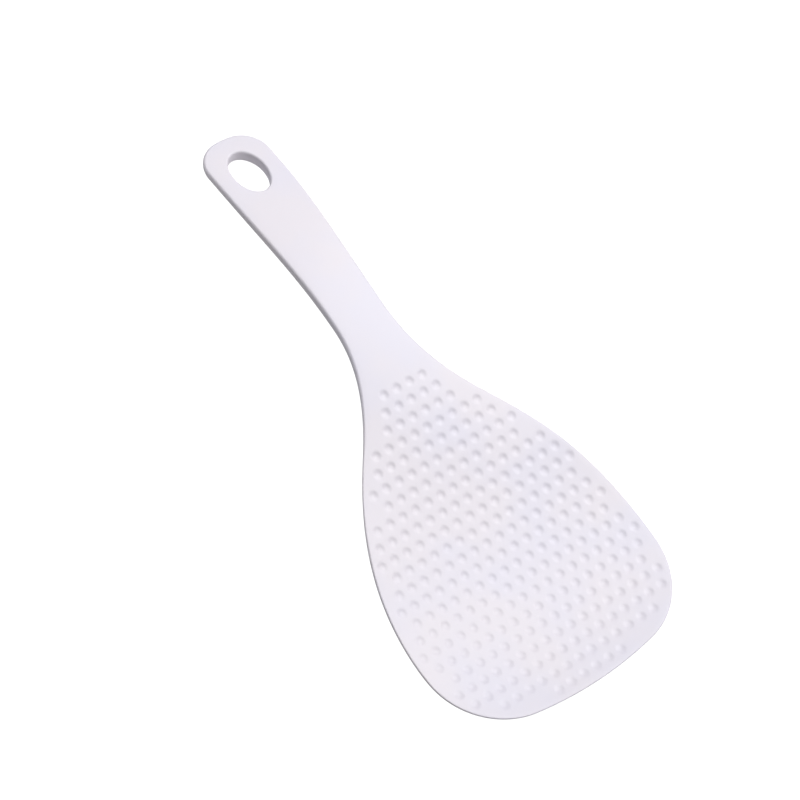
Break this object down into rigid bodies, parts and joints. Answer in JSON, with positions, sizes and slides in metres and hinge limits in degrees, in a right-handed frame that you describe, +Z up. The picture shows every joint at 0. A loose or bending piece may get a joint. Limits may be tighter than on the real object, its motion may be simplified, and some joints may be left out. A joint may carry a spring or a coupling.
{
  "type": "rice paddle",
  "caption": "Flat one-piece plastic rice paddle with an arched handle, an oval hanging hole and a wide dished blade covered in shallow non-stick dimples.",
  "frame": {"origin": "on the table the paddle lies on, under the middle of its length and on its centre line", "axes": "+X along the centre line towards the blade's tip, +Z up out of the dimpled face"},
  "size_m": [0.212, 0.0922, 0.016],
  "materials": {
    "white_plastic": "satin white polypropylene, opaque, with a faint sheen"
  },
  "bodies": {
    "root": {"rice_paddle": "white_plastic"}
  },
  "joints": []
}
